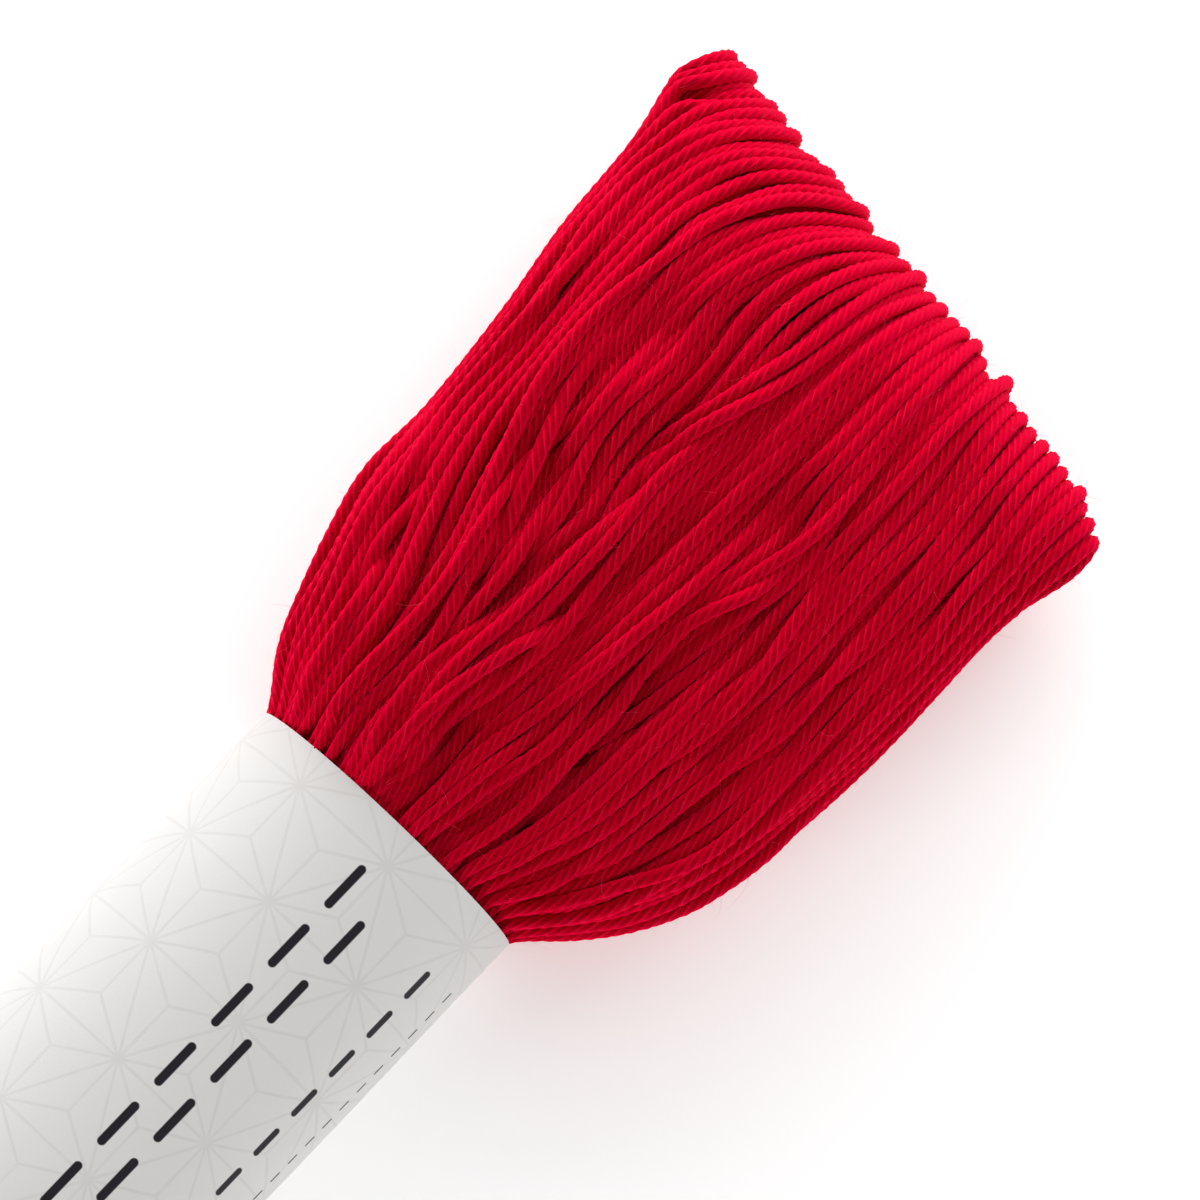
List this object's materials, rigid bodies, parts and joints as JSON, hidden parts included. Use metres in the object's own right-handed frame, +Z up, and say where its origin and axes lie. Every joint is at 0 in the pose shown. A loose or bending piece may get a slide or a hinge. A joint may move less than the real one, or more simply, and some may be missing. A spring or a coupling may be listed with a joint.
{
  "type": "skein of embroidery floss",
  "caption": "Wound skein of plied red cotton thread, gathered at its middle by an oval paper band, with a fan of loops standing out at each end.",
  "frame": {"origin": "on the surface the skein lies on, under the middle of the paper band", "axes": "+X along the skein towards the shown fan, +Y across it, +Z up"},
  "size_m": [0.1311, 0.0288, 0.0133],
  "materials": {
    "thread": "soft satin plied cotton",
    "paper": "matt printed paper"
  },
  "bodies": {
    "root": {"skein": "thread", "band": "paper"}
  },
  "joints": []
}
